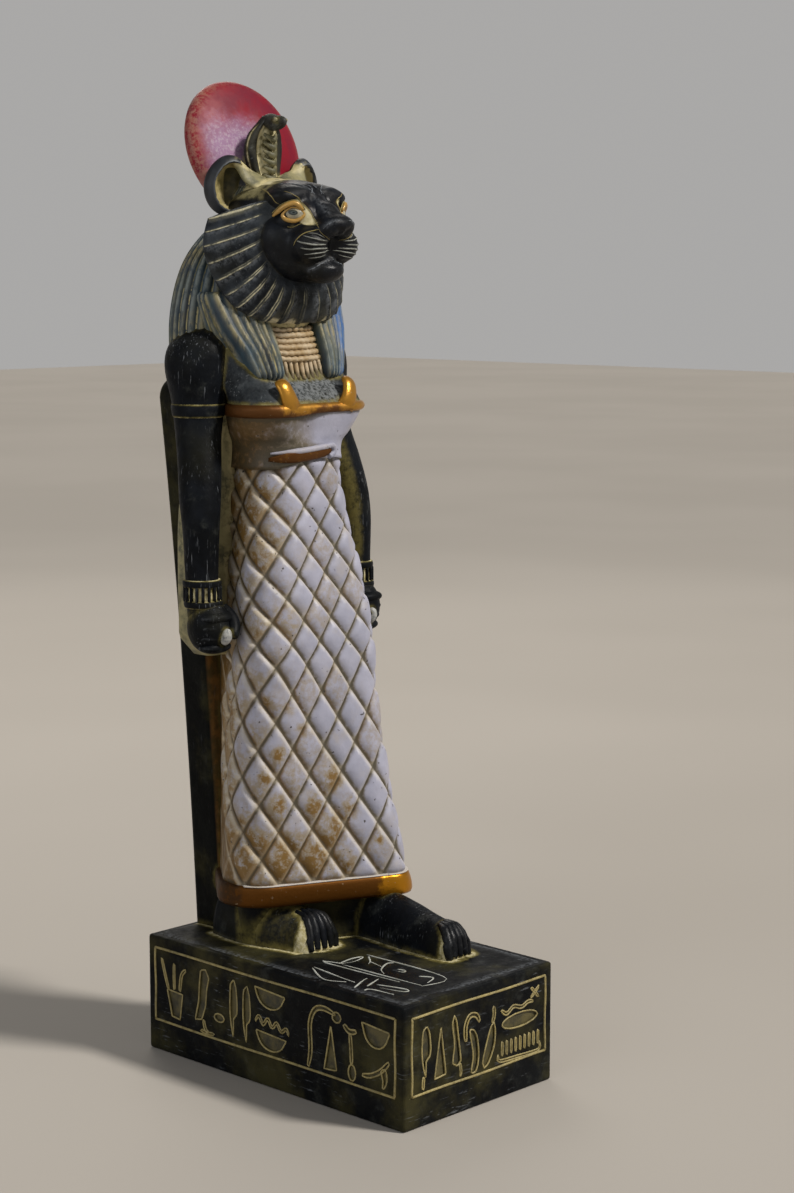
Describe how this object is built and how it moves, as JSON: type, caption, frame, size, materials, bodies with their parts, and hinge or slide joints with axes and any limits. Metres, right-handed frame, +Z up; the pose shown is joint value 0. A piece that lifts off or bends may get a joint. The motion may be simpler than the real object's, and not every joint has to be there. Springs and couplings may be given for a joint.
{
  "type": "sekhmet statue",
  "caption": "Standing lioness-headed Egyptian goddess with a sun disc and rearing cobra, in a quilted sheath dress, against a back pillar on an inscribed plinth.",
  "frame": {"origin": "centre of the plinth's underside", "axes": "+Z up, the figure looks along -Y, its own left is +X"},
  "size_m": [0.0758, 0.11, 0.2975],
  "materials": {
    "stone": "satin, painted and dry-brushed cast stone"
  },
  "bodies": {
    "root": {"statue": "stone"}
  },
  "joints": []
}
